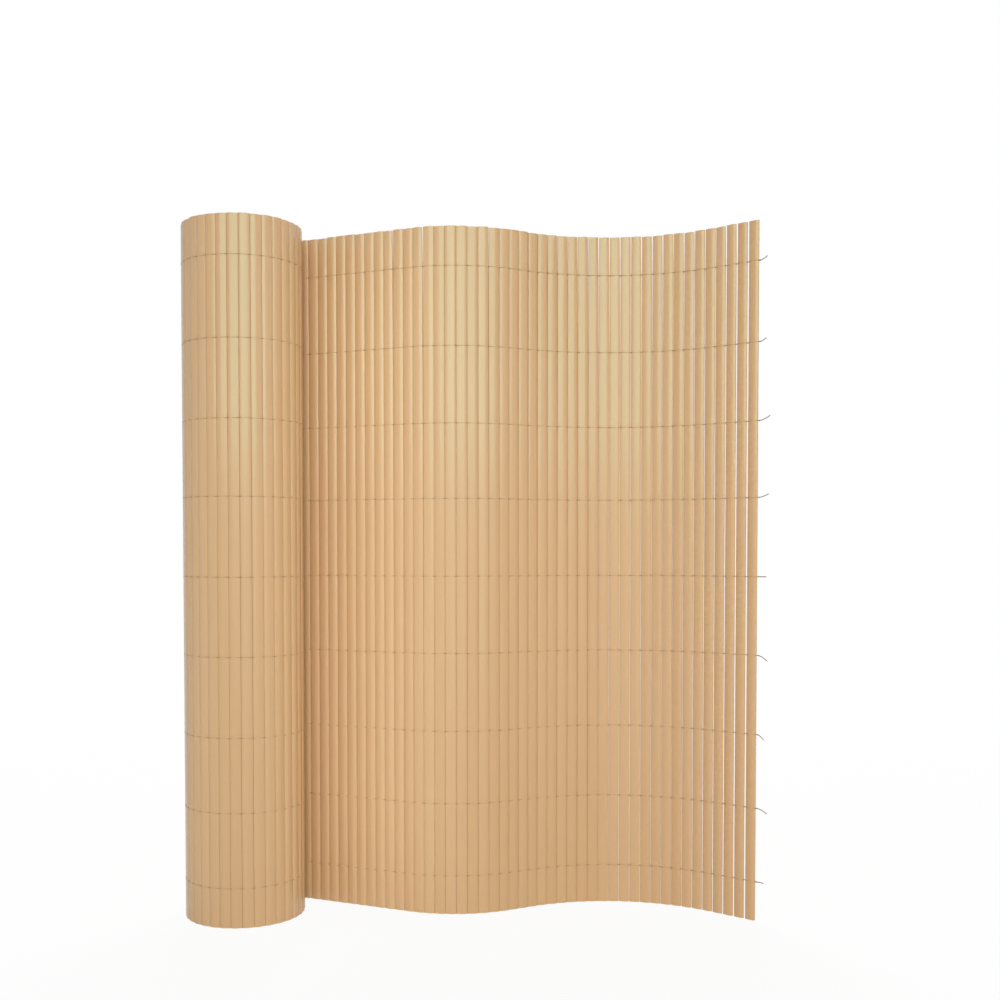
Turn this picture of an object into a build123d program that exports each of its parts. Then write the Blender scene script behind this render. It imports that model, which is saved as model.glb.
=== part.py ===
from build123d import *
import math
import os

os.makedirs("parts", exist_ok=True)

# The mat, standing on the lower ends of its slats. Sizes are in millimetres, angles in degrees.
mat_height = 900.0
mat_length = 3000.0

# One slat, a double-faced tube with crowned faces and blunt edges
slat_width = 14.0
slat_thickness = 4.2
slat_crown = 1.2
slat_wall = 0.8
cavity_crown = 0.6

# Gaps between slats, growing at the free end, where the last slats have slid apart
slat_gap = 0.4
end_gap = 2.0
loose_slats = 7

# Stitch rows, each a thread before the slats and one behind them, knotted past the last slat
thread_size = 1.0
thread_clearance = 0.2
tail_length = 12.0
bottom_margin = 50.4
top_margin = 51.4
row_drifts = (0.0, -4.2, -8.4, -5.8, -4.2, -2.3, -4.0, -3.4, 0.0)

# The roll, wound outwards from an open core, with the flat of its ridges
core_radius = 40.5
ridge_flat = 5.0

# The unrolled run, from the back of the roll to the free end, as bends and straights that follow each other.
# A last straight takes up the rest of its slats.
run_slats = 48
run_heading = -10.6
first_bend_radius = 205.0
first_bend_turn = -12.6
first_straight = 164.0
second_bend_radius = 153.0
second_bend_turn = 50.8
second_straight = 35.5
third_bend_radius = 219.0
third_bend_turn = -66.2

# Worked out from the sizes above
slat_pitch = slat_width + slat_gap
slat_edge = slat_thickness - 2 * slat_crown
turn_pitch = slat_thickness + 2 * thread_size
gap_growth = (end_gap - slat_gap) / loose_slats
strand_inside = slat_thickness / 2 + thread_clearance
strand_outside = strand_inside + thread_size
row_pitch = (mat_height - bottom_margin - top_margin) / (len(row_drifts) - 1)
run_length = run_slats * slat_pitch + gap_growth * loose_slats * (loose_slats + 1) / 2


def across(along):
    """The direction to the left of a direction in plan."""
    return along.rotate(Axis.Z, 90)


def run_line():
    """Middle line of the run, starting at the origin: three bends, each with a straight after it."""
    heading = Vector(1, 0).rotate(Axis.Z, run_heading)
    corner = Vector(0, 0)
    bends = (
        (first_bend_radius, first_bend_turn),
        (second_bend_radius, second_bend_turn),
        (third_bend_radius, third_bend_turn),
    )
    bend_length = sum(radius * math.radians(abs(turn)) for radius, turn in bends)
    last_straight = run_length - bend_length - first_straight - second_straight
    edges = []
    for (radius, turn), straight in zip(bends, (first_straight, second_straight, last_straight)):
        bend = JernArc(corner, heading, radius, turn)
        heading = heading.rotate(Axis.Z, turn)
        edges += [bend, Line(bend @ 1, (bend @ 1) + heading * straight)]
        corner = edges[-1] @ 1
    return Wire(edges)


def slat_places(line):
    """Middle point and direction of each slat along the line."""
    places = []
    reach = -slat_width / 2
    for number in range(1, run_slats + 1):
        loose = max(0, number + loose_slats - run_slats)
        reach += slat_pitch + gap_growth * loose
        places.append(
            (
                line.position_at(reach, position_mode=PositionMode.LENGTH),
                line.tangent_at(reach, position_mode=PositionMode.LENGTH),
            )
        )
    return places


def crowned_face(width, thickness, crown):
    """Section with its width along X: two faces that rise by crown to the middle, and two flat edges."""
    half, edge, top = width / 2, thickness / 2 - crown, thickness / 2
    outline = [ThreePointArc((-half, side * edge), (0, side * top), (half, side * edge)) for side in (1, -1)]
    outline += [Line((end, edge), (end, -edge)) for end in (-half, half)]
    return make_face(outline)


def hollow_slat():
    """One slat upright on the origin, its width along X."""
    outside = crowned_face(slat_width, slat_thickness, slat_crown)
    inside = crowned_face(slat_width - 2 * slat_wall, slat_thickness - 2 * slat_wall, cavity_crown)
    return extrude(outside - inside, mat_height)


def roll_joints(count):
    """Middle points of the grooves between rolled slats, from the core outwards to the start of the run."""
    joints = []
    angle = 0.0
    for _ in range(count + 1):
        radius = core_radius + turn_pitch * angle / (2 * math.pi)
        joints.append(Vector(radius, 0).rotate(Axis.Z, -math.degrees(angle)))
        angle += 2 * math.asin(slat_pitch / (2 * radius))
    last_chord = joints[-1] - joints[-2]
    swing = run_heading - math.degrees(math.atan2(last_chord.Y, last_chord.X))
    return [(joint - joints[-1]).rotate(Axis.Z, swing) for joint in joints]


def ridge_corners(joints, side):
    """Corners of one side of the rolled wall: a groove at each joint and a flat ridge between two joints."""
    chords = [(after - before).normalized() for before, after in zip(joints, joints[1:])]
    corners = []
    for before, after, along in zip(joints, joints[1:], chords):
        crown = (before + after) / 2 + across(along) * side * slat_thickness / 2
        corners += [
            before + across(along) * side * slat_edge / 2,
            crown - along * ridge_flat / 2,
            crown + along * ridge_flat / 2,
        ]
    corners.append(joints[-1] + across(chords[-1]) * side * slat_edge / 2)
    return corners


def roll_wall(joints):
    """The rolled slats as one wall of ridges that runs round and round."""
    outline = ridge_corners(joints, 1) + ridge_corners(joints, -1)[::-1]
    return extrude(make_face(Polyline(*outline, close=True)), mat_height)


def strand_corners(places, offset):
    """Corners of a strand that lies straight across two slats at a time and bends in the gap after them."""
    crowns = [spot + across(along) * offset for spot, along in places]
    corners = [crowns[0]]
    for first, second, third, fourth in zip(crowns[0::2], crowns[1::2], crowns[2::2], crowns[3::2]):
        half_step = (third - second).length / 2
        before = second + (second - first).normalized() * half_step
        after = third + (third - fourth).normalized() * half_step
        corners.append((before + after) / 2)
    return corners


def stitch_thread(places):
    """One stitch row at floor level: strands before and behind the slats, their knot and its loose tail."""
    last_spot, along = places[-1]
    left = across(along)
    knot_inside = last_spot + along * (slat_width / 2 + thread_clearance)
    knot_outside = knot_inside + along * thread_size
    tip = knot_outside + along * tail_length
    outer_end = [
        knot_outside + left * strand_outside,
        knot_outside + left * thread_size / 2,
        tip + left * thread_size / 2,
        tip - left * thread_size / 2,
        knot_outside - left * thread_size / 2,
        knot_outside - left * strand_outside,
    ]
    inner_end = [knot_inside - left * strand_inside, knot_inside + left * strand_inside]
    outline = (
        strand_corners(places, strand_outside)
        + outer_end
        + strand_corners(places, -strand_outside)[::-1]
        + strand_corners(places, -strand_inside)
        + inner_end
        + strand_corners(places, strand_inside)[::-1]
    )
    return extrude(make_face(Polyline(*outline, close=True)), thread_size)


# The slats of the run, each turned to the line that it stands on
places = slat_places(run_line())
slat = hollow_slat()
pieces = {}
for number, (spot, along) in enumerate(places, start=1):
    turn = math.degrees(math.atan2(along.Y, along.X))
    pieces[f"slat_{number:02d}"] = Location(spot, (0, 0, turn)) * slat

# The rest of the mat's length is in the roll
rolled_slats = round(mat_length / slat_pitch) - run_slats
joints = roll_joints(rolled_slats)
pieces["roll"] = roll_wall(joints)

# The stitch rows, counted from the bottom, each starting on the last slat of the roll
last_rolled = ((joints[-2] + joints[-1]) / 2, (joints[-1] - joints[-2]).normalized())
thread = stitch_thread([last_rolled] + places)
for number, drift in enumerate(row_drifts, start=1):
    row_height = bottom_margin + (number - 1) * row_pitch + drift
    pieces[f"stitch_thread_{number}"] = Pos(0, 0, row_height - thread_size / 2) * thread

# The origin is on the floor, under the middle of the whole mat
box = Compound(list(pieces.values())).bounding_box()
to_origin = Pos(-box.center().X, -box.center().Y, 0)
for name, piece in pieces.items():
    export_step(to_origin * piece, f"parts/{name}.step")
print(run_slats, "slats in the run,", rolled_slats, "in the roll")
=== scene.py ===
import math
import random

import bmesh
import bpy
import numpy as np
from mathutils import Matrix, Vector


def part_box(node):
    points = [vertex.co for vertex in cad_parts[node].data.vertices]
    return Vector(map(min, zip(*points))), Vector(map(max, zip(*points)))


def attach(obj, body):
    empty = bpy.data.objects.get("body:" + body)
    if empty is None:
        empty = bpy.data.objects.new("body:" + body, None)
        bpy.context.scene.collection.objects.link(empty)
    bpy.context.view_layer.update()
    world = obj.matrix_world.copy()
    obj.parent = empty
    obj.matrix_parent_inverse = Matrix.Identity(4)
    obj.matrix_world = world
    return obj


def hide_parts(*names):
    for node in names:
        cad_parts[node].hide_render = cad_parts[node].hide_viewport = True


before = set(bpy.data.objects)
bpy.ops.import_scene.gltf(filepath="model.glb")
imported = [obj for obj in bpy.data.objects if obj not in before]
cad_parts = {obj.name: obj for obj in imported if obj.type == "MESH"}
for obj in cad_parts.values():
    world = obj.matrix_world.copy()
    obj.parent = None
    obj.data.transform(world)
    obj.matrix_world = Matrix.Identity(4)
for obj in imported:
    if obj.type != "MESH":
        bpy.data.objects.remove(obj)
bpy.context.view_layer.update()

bl_info = {
    "name": "Screening mat",
    "version": (1, 0, 0),
    "blender": (4, 5, 0),
    "location": "View3D > Sidebar > Screening",
    "description": "Models a partly unrolled screening mat of hollow slats and stitched thread",
    "category": "Object",
}

RUN_NODES = sorted(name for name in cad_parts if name.startswith("slat_"))
ROW_NODES = sorted(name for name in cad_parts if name.startswith("stitch_thread_"))
MAT_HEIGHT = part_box("roll")[1].z
ROW_HEIGHTS = [(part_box(node)[0].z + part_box(node)[1].z) / 2 for node in ROW_NODES]


def length_setting(name, description, size):
    """A setting in metres."""
    return bpy.props.FloatProperty(
        name=name, description=description, default=size, unit="LENGTH", precision=5
    )


def power_setting(name, description, watts):
    """A setting in watts."""
    return bpy.props.FloatProperty(name=name, description=description, default=watts, unit="POWER")


def colour_setting(name, description, colour):
    """A setting for a colour, in linear red, green and blue."""
    return bpy.props.FloatVectorProperty(
        name=name, description=description, default=colour, subtype="COLOR"
    )


class SlatSettings(bpy.types.PropertyGroup):
    """Sizes and colours of the slats."""

    width: length_setting("Width", "Width of a slat", 0.01438)
    thickness: length_setting("Thickness", "Thickness in the middle of a slat", 0.0042)
    crown: length_setting("Crown", "Rise of each face from edge to middle", 0.0009)
    wall: length_setting("Wall", "Wall of the hollow slat", 0.0008)
    edge_bevel: length_setting("Edge bevel", "Rounding of the four long edges", 0.0004)
    gap: length_setting("Gap", "Gap between slats that lie close", 0.00002)
    slit: length_setting("Slit", "Most that two slats stand apart at their tops", 0.0016)
    uneven_cut: length_setting("Uneven cut", "Most that a slat is cut short at its top", 0.0010)
    colour: colour_setting("Colour", "Colour of the plastic", (0.640, 0.414, 0.214))
    cut_colour: colour_setting("Cut colour", "Colour of the sawn ends", (0.58, 0.34, 0.155))


class RollSettings(bpy.types.PropertyGroup):
    """Sizes of the roll."""

    slats: bpy.props.IntProperty(name="Slats", description="Slats in the roll", default=160, min=3)
    core_radius: length_setting("Core radius", "Radius of the innermost turn", 0.0405)
    turn_pitch: length_setting("Turn pitch", "Step from one turn to the next", 0.0062)


class ThreadSettings(bpy.types.PropertyGroup):
    """Size and colours of the stitching."""

    diameter: length_setting("Diameter", "Diameter of one strand", 0.0008)
    colour: colour_setting("Colour", "Colour of the lower threads", (0.63, 0.405, 0.20))
    top_colour: colour_setting("Top colour", "Colour of the weathered upper threads", (0.50, 0.33, 0.155))


class StageSettings(bpy.types.PropertyGroup):
    """Camera and light."""

    camera_place: bpy.props.FloatVectorProperty(
        name="Camera place",
        description="Where the camera stands",
        default=(0.037, -1.586, 0.4772),
        subtype="XYZ",
    )
    camera_pitch: bpy.props.FloatProperty(
        name="Camera pitch",
        description="Turn of the camera below level",
        default=math.radians(1.74),
        subtype="ANGLE",
    )
    lens: bpy.props.FloatProperty(
        name="Lens", description="Focal length in millimetres on a 36 mm sensor", default=43.2
    )
    camera_shift: bpy.props.FloatProperty(
        name="Camera shift", description="Upward shift as a share of the picture", default=0.0883
    )
    world_light: bpy.props.FloatProperty(
        name="World light", description="Strength of the white room", default=0.31
    )
    key_power: power_setting("Key power", "Power of the softbox behind the camera", 35.0)
    fill_power: power_setting("Fill power", "Power of the softbox beside the roll", 4.5)
    back_power: power_setting("Back power", "Power of the softbox behind and above the mat", 46.0)
    strip_power: power_setting("Strip power", "Power of the narrow softbox at the nook beside the roll", 0.11)
    sheen_power: power_setting("Sheen power", "Power of the panel that the plastic mirrors", 44.0)
    sheen_colour: colour_setting("Sheen colour", "Colour of the mirrored panel", (0.38, 1.0, 0.88))


def deselect_all():
    """Leaves nothing selected, so that an operator acts on one piece only."""
    bpy.ops.object.select_all(action="DESELECT")


def select_where(piece, test):
    """Selects, in edit mode, the corners of a piece whose place passes the test."""
    bpy.ops.mesh.select_all(action="DESELECT")
    shape = bmesh.from_edit_mesh(piece.data)
    for corner in shape.verts:
        corner.select = test(corner.co)
    shape.select_flush(True)
    bmesh.update_edit_mesh(piece.data)


def across(along):
    """The direction to the left of a direction in plan."""
    return Vector((-along.y, along.x, 0))


def heading_of(along):
    """Angle in plan of a direction."""
    return math.atan2(along.y, along.x)


def run_places():
    """Middle and direction in plan of each slat of the run, read from the solids."""
    places = []
    for node in RUN_NODES:
        corners = np.array([corner.co[:2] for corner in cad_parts[node].data.vertices])
        middle = (corners.min(0) + corners.max(0)) / 2
        along = np.linalg.svd(corners - middle)[2][0]
        along *= math.copysign(1, along[0])
        places.append((Vector((*middle, 0)), Vector((*along, 0))))
    return places


def roll_places(places, slat, roll):
    """Middle and direction of each rolled slat, from the core outwards to the start of the run."""
    pitch = slat.width + slat.gap
    joints = []
    angle = 0.0
    for _ in range(roll.slats + 1):
        radius = roll.core_radius + roll.turn_pitch * angle / math.tau
        joints.append(Vector((radius * math.cos(angle), -radius * math.sin(angle), 0)))
        angle += 2 * math.asin(pitch / (2 * radius))
    (first_middle, first_along), (_, second_along) = places[:2]
    reach = slat.gap + slat.width / 2
    bend = (heading_of(first_along) - heading_of(second_along)) * reach / pitch
    end = first_middle - Matrix.Rotation(bend / 2, 3, "Z") @ first_along * reach
    swing = heading_of(first_along) + bend - heading_of(joints[-1] - joints[-2])
    turn = Matrix.Rotation(swing, 3, "Z")
    joints = [end + turn @ (joint - joints[-1]) for joint in joints]
    chords = zip(joints, joints[1:])
    return [((before + after) / 2, (after - before).normalized()) for before, after in chords]


def crown_height(slat, offset):
    """Half thickness of a slat at an offset from its middle line."""
    radius = (slat.width**2 / 4 + slat.crown**2) / (2 * slat.crown)
    return slat.thickness / 2 - radius + math.sqrt(radius**2 - offset**2)


def model_slat(slat, height_cuts=()):
    """One slat upright on the origin: a bar cut lengthwise, crowned, rounded at its edges and hollow."""
    crown_cuts = 4
    smooth_angle = math.radians(40)
    near = slat.wall / 10
    half_width = slat.width / 2
    edge = crown_height(slat, half_width)
    deselect_all()
    bpy.ops.mesh.primitive_cube_add(size=1, location=(0, 0, MAT_HEIGHT / 2))
    piece = bpy.context.object
    piece.scale = (slat.width, 2 * edge, MAT_HEIGHT)
    bpy.ops.object.transform_apply(location=True, rotation=False, scale=True)
    bpy.ops.object.mode_set(mode="EDIT")
    bpy.ops.mesh.select_mode(type="VERT")
    for number in range(1, crown_cuts):
        offset = slat.width * (number / crown_cuts - 0.5)
        bpy.ops.mesh.select_all(action="SELECT")
        bpy.ops.mesh.bisect(plane_co=(offset, 0, 0), plane_no=(1, 0, 0))
        for side in (1, -1):
            select_where(piece, lambda place: abs(place.x - offset) < near and place.y * side > 0)
            bpy.ops.transform.translate(value=(0, side * (crown_height(slat, offset) - edge), 0))
    for end in (0, MAT_HEIGHT):
        select_where(piece, lambda place: abs(place.z - end) < near)
        bpy.ops.mesh.delete(type="ONLY_FACE")
    for side in (1, -1):
        select_where(piece, lambda place: abs(abs(place.x) - half_width) < near and place.y * side > 0)
        bpy.ops.mesh.bevel(offset=slat.edge_bevel, segments=2, affect="EDGES")
    for height in height_cuts:
        bpy.ops.mesh.select_all(action="SELECT")
        bpy.ops.mesh.bisect(plane_co=(0, 0, height), plane_no=(0, 0, 1))
    bpy.ops.mesh.select_all(action="SELECT")
    bpy.ops.mesh.normals_make_consistent(inside=False)
    bpy.ops.object.mode_set(mode="OBJECT")
    piece.data.materials.append(bpy.data.materials["beige_plastic"])
    piece.data.materials.append(bpy.data.materials["sawn_end"])
    hollow = piece.modifiers.new("hollow", "SOLIDIFY")
    hollow.thickness = slat.wall
    hollow.offset = -1
    hollow.use_even_offset = True
    hollow.material_offset_rim = 1
    bpy.ops.object.modifier_apply(modifier=hollow.name)
    bpy.ops.object.shade_smooth_by_angle(angle=smooth_angle)
    return piece


def copy_slat(pattern, name, place, tone):
    """A copy of the pattern slat with its own mesh, at a place in plan and with its own tone."""
    middle, along = place
    copy = pattern.copy()
    copy.data = pattern.data.copy()
    copy.name = copy.data.name = name
    bpy.context.collection.objects.link(copy)
    shade = copy.data.attributes.new("slat_tone", "FLOAT", "FACE")
    shade.data.foreach_set("value", [tone] * len(copy.data.polygons))
    copy.data.transform(Matrix.Translation(middle) @ Matrix.Rotation(heading_of(along), 4, "Z"))
    return copy


def shorten_top(piece, short):
    """Cuts a slat a little short at its top."""
    for corner in piece.data.vertices:
        corner.co.z -= short * corner.co.z / MAT_HEIGHT


def open_slit(piece, place, half_width, heights, slits):
    """Draws in one long edge of a slat by an amount that changes with height, which opens a slit there."""
    middle, along = place
    for corner in piece.data.vertices:
        share = (corner.co - middle).dot(along) / half_width
        if share > 0:
            corner.co -= along * share * float(np.interp(corner.co.z, heights, slits))


# Seeds of the small differences from slat to slat
RUN_SEED = 11
ROLL_SEED = 23

# How far a slit is open at the foot, at each stitch row and at the top, as a share of its widest
SLIT_OPENINGS = (0, 0, 0.02, 0.04, 0.06, 0.1, 0.14, 0.18, 0.25, 0.6, 1)


def slit_share(number):
    """Share of a slit beside a slat: a few slits early in the run, then one beside every slat."""
    close_slats = 25
    early_slits = (3, 4, 13, 16, 22)
    if number in early_slits:
        return 1.0
    return 0.0 if number <= close_slats else 1.0


def loose_share(number):
    """Share of a slit that stays open down to the foot, growing towards the free end."""
    close_slats = 28
    widest_share = 0.6
    return widest_share * max(0, number - close_slats) / (len(RUN_NODES) - close_slats)


class SCREENING_OT_run_slats(bpy.types.Operator):
    """Adds the upright slats of the unrolled run"""

    bl_idname = "screening.run_slats"
    bl_label = "Add the slats of the run"

    def execute(self, context):
        slat = context.scene.screening_slat
        narrowest_slit = 0.5
        chance = random.Random(RUN_SEED)
        pattern = model_slat(slat, ROW_HEIGHTS)
        heights = [0, *ROW_HEIGHTS, MAT_HEIGHT]
        for number, (node, place) in enumerate(zip(RUN_NODES, run_places()), start=1):
            piece = copy_slat(pattern, f"run_{node}", place, chance.random())
            widest = slat.slit * chance.uniform(narrowest_slit, 1) * slit_share(number)
            loose = slat.slit * loose_share(number)
            slits = [max(widest * opening, loose) for opening in SLIT_OPENINGS]
            open_slit(piece, place, slat.width / 2, heights, slits)
            shorten_top(piece, slat.uneven_cut * chance.random())
            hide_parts(node)
            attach(piece, "root")
        bpy.data.objects.remove(pattern)
        return {"FINISHED"}


class SCREENING_OT_rolled_slats(bpy.types.Operator):
    """Adds the slats that are still rolled up"""

    bl_idname = "screening.rolled_slats"
    bl_label = "Add the rolled slats"

    def execute(self, context):
        slat = context.scene.screening_slat
        chance = random.Random(ROLL_SEED)
        pattern = model_slat(slat)
        copies = []
        for number, place in enumerate(roll_places(run_places(), slat, context.scene.screening_roll)):
            copy = copy_slat(pattern, f"rolled_slat_{number}", place, chance.random())
            shorten_top(copy, slat.uneven_cut * chance.random())
            copies.append(copy)
        bpy.data.objects.remove(pattern)
        deselect_all()
        for copy in copies:
            copy.select_set(True)
        context.view_layer.objects.active = copies[0]
        bpy.ops.object.join()
        piece = copies[0]
        piece.name = piece.data.name = "rolled_slats"
        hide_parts("roll")
        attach(piece, "root")
        return {"FINISHED"}


# Reach of each thread's tail past the last slat and its rise there, from the lowest row up
TAILS = (
    (0.0085, -0.0010),
    (0.0120, -0.0060),
    (0.0075, -0.0065),
    (0.0115, -0.0070),
    (0.0095, 0.0000),
    (0.0120, 0.0045),
    (0.0130, 0.0060),
    (0.0075, 0.0045),
    (0.0085, 0.0050),
)


def over_slat(place, height, side, slat, thread):
    """Points of a strand over one face of a slat, each with its thickness as a share."""
    middle, along = place
    edge_offset = slat.width / 2 - slat.edge_bevel
    points = []
    for share in (-1, -0.5, 0, 0.5, 1):
        offset = share * edge_offset
        clear = crown_height(slat, offset) + thread.diameter / 2
        on_face = middle + along * offset + across(along) * side * clear
        points.append((on_face + Vector((0, 0, height)), 1.0))
    return points


def strand_line(places, height, first_side, slat, thread):
    """Line of one strand: by turns before and behind the slats, squeezed past the other in each gap."""
    squeezed = 0.6
    line = []
    side = first_side
    for place, next_place in zip(places, places[1:]):
        line += over_slat(place, height, side, slat, thread)
        crossing = (place[0] + next_place[0]) / 2
        line.append((crossing + Vector((0, 0, height - side * thread.diameter / 2)), squeezed))
        side = -side
    return line + over_slat(places[-1], height, side, slat, thread)


def tail_line(place, height, tail, side, slat, thread):
    """End of one strand past the last slat: a knot of one turn and a half, and the loose tail."""
    middle, along = place
    left = across(along)
    knot_turns = 1.5
    knot_points = 12
    knot_radius = 0.75 * thread.diameter
    tail_turn = math.radians(18)
    tail_curl = 1.5
    strands_apart = 0.3 * thread.diameter
    knot = middle + along * (slat.width / 2 + thread.diameter) + Vector((0, 0, height))
    line = []
    for number in range(knot_points + 1):
        angle = math.tau * knot_turns * number / knot_points
        swing = left * math.cos(angle) * side + Vector((0, 0, math.sin(angle) * side))
        step = along * thread.diameter * number / knot_points
        line.append((knot + step + swing * knot_radius, 1.0))
    reach, rise = tail
    out = Matrix.Rotation(tail_turn, 3, "Z") @ along
    root = knot + along * thread.diameter
    for share in (0.15, 0.4, 0.7, 1.0):
        lift = rise * share**tail_curl - side * strands_apart
        line.append((root + out * reach * share + Vector((0, 0, lift)), 1.0))
    return line


def add_strand(name, line, thread):
    """A round strand along a line."""
    curve = bpy.data.curves.new(name, "CURVE")
    curve.dimensions = "3D"
    curve.bevel_depth = thread.diameter / 2
    curve.bevel_resolution = 1
    curve.use_fill_caps = True
    spline = curve.splines.new("POLY")
    spline.points.add(len(line) - 1)
    for point, (place, thickness) in zip(spline.points, line):
        point.co = (*place, 1)
        point.radius = thickness
    strand = bpy.data.objects.new(name, curve)
    bpy.context.collection.objects.link(strand)
    curve.materials.append(bpy.data.materials["twisted_thread"])
    return strand


def mark_gap_shade(piece, places, slat):
    """Marks how far a stitch row dips into the gaps between slats, which drives a painted shade on its thread
    there.
    """
    dip_start = 0.8
    corners = np.array([corner.co[:2] for corner in piece.data.vertices])
    middles = np.array([middle[:2] for middle, _ in places])
    alongs = np.array([along[:2] for _, along in places])
    nearest = np.argmin(((corners[:, None] - middles) ** 2).sum(2), axis=1)
    offsets = np.abs(((corners - middles[nearest]) * alongs[nearest]).sum(1)) / (slat.width / 2)
    dips = np.clip((offsets - dip_start) / (1 - dip_start), 0, 1)
    # Painted shade: the deeper a corner lies in a gap, the darker its thread is drawn.
    shade = piece.data.attributes.new("gap_shade_mask", "FLOAT", "POINT")
    shade.data.foreach_set("value", dips.astype(np.float32))


class SCREENING_OT_stitch_rows(bpy.types.Operator):
    """Adds the rows of stitching, each of two strands that cross in every gap"""

    bl_idname = "screening.stitch_rows"
    bl_label = "Add the stitch rows"

    def execute(self, context):
        slat = context.scene.screening_slat
        thread = context.scene.screening_thread
        places = run_places()
        places = roll_places(places, slat, context.scene.screening_roll) + places
        for node, height, tail in zip(ROW_NODES, ROW_HEIGHTS, TAILS):
            strands = []
            for side in (1, -1):
                last_side = side * (-1) ** (len(places) - 1)
                line = strand_line(places, height, side, slat, thread)
                line += tail_line(places[-1], height, tail, last_side, slat, thread)
                strands.append(add_strand(f"{node}_strand", line, thread))
            deselect_all()
            for strand in strands:
                strand.select_set(True)
            context.view_layer.objects.active = strands[0]
            bpy.ops.object.convert(target="MESH")
            bpy.ops.object.join()
            bpy.ops.object.shade_smooth()
            piece = context.object
            piece.name = piece.data.name = node.replace("thread", "row")
            mark_gap_shade(piece, places, slat)
            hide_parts(node)
            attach(piece, "root")
        return {"FINISHED"}


def new_material(name):
    """An empty node material with its surface shader."""
    material = bpy.data.materials.new(name)
    material.use_nodes = True
    nodes = material.node_tree.nodes
    return material, nodes, material.node_tree.links, nodes["Principled BSDF"]


def streak_group():
    """Shader node group: fine lines along the slats, as an extruded plastic has."""
    group = bpy.data.node_groups.new("extrusion_streaks", "ShaderNodeTree")
    group.interface.new_socket("Line width", in_out="INPUT", socket_type="NodeSocketFloat")
    group.interface.new_socket("Streak", in_out="OUTPUT", socket_type="NodeSocketFloat")
    nodes, links = group.nodes, group.links
    lengthwise_scale = 0.004
    inputs = nodes.new("NodeGroupInput")
    outputs = nodes.new("NodeGroupOutput")
    place = nodes.new("ShaderNodeTexCoord")
    stretch = nodes.new("ShaderNodeMapping")
    stretch.inputs["Scale"].default_value = (1, 1, lengthwise_scale)
    noise = nodes.new("ShaderNodeTexNoise")
    noise.inputs["Detail"].default_value = 2
    density = nodes.new("ShaderNodeMath")
    density.operation = "DIVIDE"
    density.inputs[0].default_value = 1
    links.new(inputs.outputs["Line width"], density.inputs[1])
    links.new(density.outputs[0], noise.inputs["Scale"])
    links.new(place.outputs["Object"], stretch.inputs["Vector"])
    links.new(stretch.outputs["Vector"], noise.inputs["Vector"])
    links.new(noise.outputs["Fac"], outputs.inputs["Streak"])
    return group


def two_tones(nodes, colour, dark, pale):
    """A colour ramp from a darker to a paler tone of one colour."""
    ramp = nodes.new("ShaderNodeValToRGB")
    for element, tone in zip(ramp.color_ramp.elements, (dark, pale)):
        element.color = (*(channel * share for channel, share in zip(colour, tone)), 1)
    return ramp


def slat_material(slat, streaks):
    """Satin beige plastic, a little different from slat to slat and streaked along its length."""
    line_width = 0.0009
    streak_share = 0.5
    dark_tone = (0.96, 0.93, 0.90)
    pale_tone = (1.04, 1.07, 1.10)
    least_roughness = 0.16
    most_roughness = 0.26
    _, nodes, links, shader = new_material("beige_plastic")
    shader.inputs["Specular IOR Level"].default_value = 0.35
    tone = nodes.new("ShaderNodeAttribute")
    tone.attribute_name = "slat_tone"
    streak = nodes.new("ShaderNodeGroup")
    streak.node_tree = streaks
    streak.inputs["Line width"].default_value = line_width
    mixed = nodes.new("ShaderNodeMix")
    mixed.inputs["Factor"].default_value = streak_share
    links.new(tone.outputs["Fac"], mixed.inputs["A"])
    links.new(streak.outputs["Streak"], mixed.inputs["B"])
    ramp = two_tones(nodes, slat.colour, dark_tone, pale_tone)
    links.new(mixed.outputs["Result"], ramp.inputs["Fac"])
    links.new(ramp.outputs["Color"], shader.inputs["Base Color"])
    gloss = nodes.new("ShaderNodeMapRange")
    gloss.inputs["To Min"].default_value = least_roughness
    gloss.inputs["To Max"].default_value = most_roughness
    links.new(streak.outputs["Streak"], gloss.inputs["Value"])
    links.new(gloss.outputs["Result"], shader.inputs["Roughness"])
    bump = nodes.new("ShaderNodeBump")
    bump.inputs["Strength"].default_value = 0.12
    bump.inputs["Distance"].default_value = 0.0002
    links.new(streak.outputs["Streak"], bump.inputs["Height"])
    links.new(bump.outputs["Normal"], shader.inputs["Normal"])


def sawn_material(slat):
    """The rough sawn ends of the slats, in two tones of a fine grain."""
    grain = 0.0004
    dark_tone = (0.8, 0.8, 0.8)
    pale_tone = (1.2, 1.2, 1.2)
    _, nodes, links, shader = new_material("sawn_end")
    shader.inputs["Roughness"].default_value = 0.7
    noise = nodes.new("ShaderNodeTexNoise")
    noise.inputs["Scale"].default_value = 1 / grain
    place = nodes.new("ShaderNodeTexCoord")
    ramp = two_tones(nodes, slat.cut_colour, dark_tone, pale_tone)
    links.new(place.outputs["Object"], noise.inputs["Vector"])
    links.new(noise.outputs["Fac"], ramp.inputs["Fac"])
    links.new(ramp.outputs["Color"], shader.inputs["Base Color"])


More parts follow.
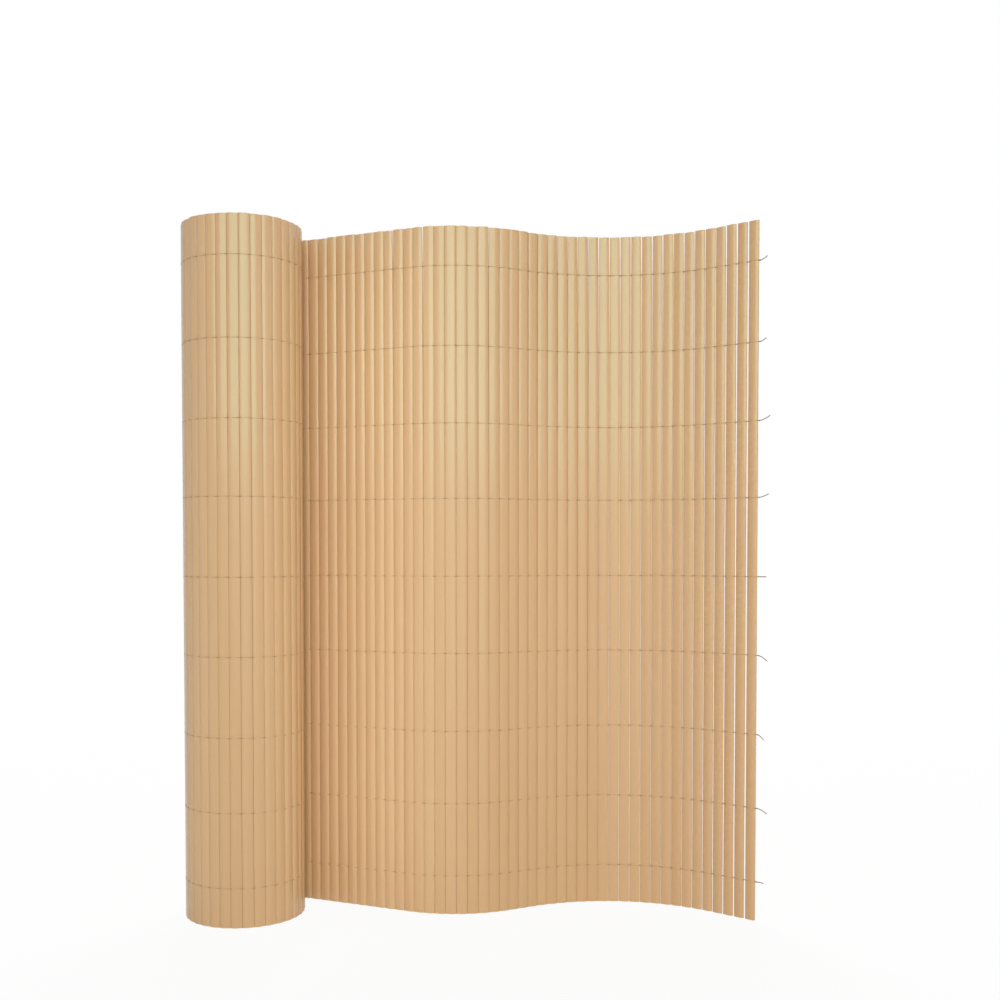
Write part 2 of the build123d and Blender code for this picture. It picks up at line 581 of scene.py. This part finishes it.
def thread_material(thread):
    """Dull thread with fibres, darker towards the top of the mat, with painted shade in the gaps between
    slats.
    """
    grain = 0.0006
    # Painted shade: deep in the gaps the thread's colour is scaled down to this share.
    gap_shade_share = 0.5
    # The thread's colour goes from its lower colour to its darker top colour between these heights.
    darkened_from = 0.25 * MAT_HEIGHT
    darkened_to = 0.85 * MAT_HEIGHT
    _, nodes, links, shader = new_material("twisted_thread")
    shader.inputs["Roughness"].default_value = 0.8
    place = nodes.new("ShaderNodeTexCoord")
    height = nodes.new("ShaderNodeSeparateXYZ")
    darkened = nodes.new("ShaderNodeMapRange")
    darkened.inputs["From Min"].default_value = darkened_from
    darkened.inputs["From Max"].default_value = darkened_to
    blend = two_tones(nodes, (1, 1, 1), thread.colour, thread.top_colour)
    gap_shade_mask = nodes.new("ShaderNodeAttribute")
    gap_shade_mask.attribute_name = "gap_shade_mask"
    shade = nodes.new("ShaderNodeMapRange")
    shade.inputs["To Min"].default_value = 1
    shade.inputs["To Max"].default_value = gap_shade_share
    darken = nodes.new("ShaderNodeVectorMath")
    darken.operation = "SCALE"
    noise = nodes.new("ShaderNodeTexNoise")
    noise.inputs["Scale"].default_value = 1 / grain
    bump = nodes.new("ShaderNodeBump")
    bump.inputs["Strength"].default_value = 0.5
    bump.inputs["Distance"].default_value = 0.0002
    links.new(place.outputs["Object"], height.inputs["Vector"])
    links.new(height.outputs["Z"], darkened.inputs["Value"])
    links.new(darkened.outputs["Result"], blend.inputs["Fac"])
    links.new(blend.outputs["Color"], darken.inputs[0])
    links.new(gap_shade_mask.outputs["Fac"], shade.inputs["Value"])
    links.new(shade.outputs["Result"], darken.inputs["Scale"])
    links.new(darken.outputs["Vector"], shader.inputs["Base Color"])
    links.new(place.outputs["Object"], noise.inputs["Vector"])
    links.new(noise.outputs["Fac"], bump.inputs["Height"])
    links.new(bump.outputs["Normal"], shader.inputs["Normal"])


class SCREENING_OT_materials(bpy.types.Operator):
    """Makes the plastic, its sawn ends and the thread"""

    bl_idname = "screening.materials"
    bl_label = "Make the materials"

    def execute(self, context):
        slat_material(context.scene.screening_slat, streak_group())
        sawn_material(context.scene.screening_slat)
        thread_material(context.scene.screening_thread)
        return {"FINISHED"}


def seen_white(nodes, links):
    """One where a camera, glossy or transmission ray looks, nought for the light itself."""
    rays = nodes.new("ShaderNodeLightPath")
    seen = nodes.new("ShaderNodeMath")
    seen.operation = "MAXIMUM"
    links.new(rays.outputs["Is Camera Ray"], seen.inputs[0])
    links.new(rays.outputs["Is Glossy Ray"], seen.inputs[1])
    either = nodes.new("ShaderNodeMath")
    either.operation = "MAXIMUM"
    links.new(seen.outputs[0], either.inputs[0])
    links.new(rays.outputs["Is Transmission Ray"], either.inputs[1])
    return either.outputs[0]


def white_room(stage):
    """A world that lights evenly and looks white."""
    world = bpy.data.worlds.new("white_room")
    bpy.context.scene.world = world
    world.use_nodes = True
    nodes, links = world.node_tree.nodes, world.node_tree.links
    strength = nodes.new("ShaderNodeMapRange")
    strength.inputs["To Min"].default_value = stage.world_light
    strength.inputs["To Max"].default_value = 1
    links.new(seen_white(nodes, links), strength.inputs["Value"])
    nodes["Background"].inputs["Color"].default_value = (1, 1, 1, 1)
    links.new(strength.outputs["Result"], nodes["Background"].inputs["Strength"])


def white_floor():
    """A wide pale floor with a faint soft shadow near the mat, quite white away from it."""
    floor_size = 40
    near_share = 0.94
    near_radius = 0.5
    far_radius = 2.0
    deselect_all()
    bpy.ops.mesh.primitive_plane_add(size=floor_size)
    floor = bpy.context.object
    floor.name = "floor"
    material, nodes, links, shader = new_material("floor_white")
    shader.inputs["Base Color"].default_value = (0.95, 0.95, 0.95, 1)
    shader.inputs["Roughness"].default_value = 1
    shader.inputs["Specular IOR Level"].default_value = 0
    glow = nodes.new("ShaderNodeEmission")
    share = nodes.new("ShaderNodeMath")
    share.operation = "MULTIPLY"
    place = nodes.new("ShaderNodeTexCoord")
    distance = nodes.new("ShaderNodeVectorMath")
    distance.operation = "LENGTH"
    fade = nodes.new("ShaderNodeMapRange")
    fade.inputs["From Min"].default_value = near_radius
    fade.inputs["From Max"].default_value = far_radius
    fade.inputs["To Min"].default_value = near_share
    fade.inputs["To Max"].default_value = 1
    links.new(place.outputs["Object"], distance.inputs[0])
    links.new(distance.outputs["Value"], fade.inputs["Value"])
    links.new(fade.outputs["Result"], share.inputs[1])
    blend = nodes.new("ShaderNodeMixShader")
    links.new(seen_white(nodes, links), share.inputs[0])
    links.new(share.outputs[0], blend.inputs["Fac"])
    links.new(shader.outputs["BSDF"], blend.inputs[1])
    links.new(glow.outputs["Emission"], blend.inputs[2])
    links.new(blend.outputs["Shader"], nodes["Material Output"].inputs["Surface"])
    floor.data.materials.append(material)


def add_panel(name, place, aim, size, power):
    """A rectangular soft light at a place, turned to its aim."""
    deselect_all()
    bpy.ops.object.light_add(type="AREA", location=place)
    panel = bpy.context.object
    panel.name = name
    panel.data.shape = "RECTANGLE"
    panel.data.size, panel.data.size_y = size
    panel.data.energy = power
    panel.rotation_euler = (Vector(aim) - Vector(place)).to_track_quat("-Z", "Y").to_euler()
    return panel


# Place, aim and size of each soft light
KEY_PANEL = ((0.45, -2.4, 0.46), (0.04, 0, 0.45), (1.6, 0.9))
FILL_PANEL = ((-2.2, -0.7, 0.5), (-0.3, 0, 0.4), (1.2, 0.9))
STRIP_PANEL = ((-0.2, -0.3, 0.45), (-0.12, 0.05, 0.45), (0.06, 0.9))
BACK_PANEL = ((0.0, 1.7, 2.2), (0, 0, 0.6), (1.6, 1.0))
SHEEN_PANEL = ((0.05, -1.9, 1.45), (0.05, 0, 1.45), (2.3, 1.4))
STRIP_SPREAD = math.radians(60)


class SCREENING_OT_stage(bpy.types.Operator):
    """Adds the floor, the light and the camera"""

    bl_idname = "screening.stage"
    bl_label = "Add the stage"

    def execute(self, context):
        stage = context.scene.screening_stage
        context.scene.view_settings.view_transform = "Standard"
        white_room(stage)
        white_floor()
        key = add_panel("key_softbox", *KEY_PANEL, stage.key_power)
        fill = add_panel("fill_softbox", *FILL_PANEL, stage.fill_power)
        strip = add_panel("strip_softbox", *STRIP_PANEL, stage.strip_power)
        strip.data.spread = STRIP_SPREAD
        back = add_panel("back_softbox", *BACK_PANEL, stage.back_power)
        for softbox in (key, fill, strip, back):
            softbox.visible_glossy = False
            softbox.visible_camera = False
        sheen = add_panel("sheen_panel", *SHEEN_PANEL, stage.sheen_power)
        sheen.data.color = stage.sheen_colour
        sheen.visible_diffuse = False
        deselect_all()
        bpy.ops.object.camera_add(
            location=stage.camera_place, rotation=(math.pi / 2 - stage.camera_pitch, 0, 0)
        )
        camera = context.object
        camera.data.lens = stage.lens
        camera.data.sensor_width = 36
        camera.data.shift_y = stage.camera_shift
        context.scene.camera = camera
        return {"FINISHED"}


class SCREENING_PT_panel(bpy.types.Panel):
    """The mat's pieces, in the order in which they are added"""

    bl_idname = "SCREENING_PT_panel"
    bl_label = "Screening mat"
    bl_space_type = "VIEW_3D"
    bl_region_type = "UI"
    bl_category = "Screening"

    def draw(self, context):
        for operator in OPERATORS:
            self.layout.operator(operator.bl_idname)


SETTINGS = {
    "screening_slat": SlatSettings,
    "screening_roll": RollSettings,
    "screening_thread": ThreadSettings,
    "screening_stage": StageSettings,
}
OPERATORS = (
    SCREENING_OT_materials,
    SCREENING_OT_run_slats,
    SCREENING_OT_rolled_slats,
    SCREENING_OT_stitch_rows,
    SCREENING_OT_stage,
)


def register():
    for name, group in SETTINGS.items():
        bpy.utils.register_class(group)
        setattr(bpy.types.Scene, name, bpy.props.PointerProperty(type=group))
    for operator in OPERATORS:
        bpy.utils.register_class(operator)
    bpy.utils.register_class(SCREENING_PT_panel)


def unregister():
    bpy.utils.unregister_class(SCREENING_PT_panel)
    for operator in reversed(OPERATORS):
        bpy.utils.unregister_class(operator)
    for name, group in reversed(SETTINGS.items()):
        delattr(bpy.types.Scene, name)
        bpy.utils.unregister_class(group)


def main():
    register()
    bpy.ops.screening.materials()
    bpy.ops.screening.run_slats()
    bpy.ops.screening.rolled_slats()
    bpy.ops.screening.stitch_rows()
    bpy.ops.screening.stage()


if __name__ == "__main__":
    main()
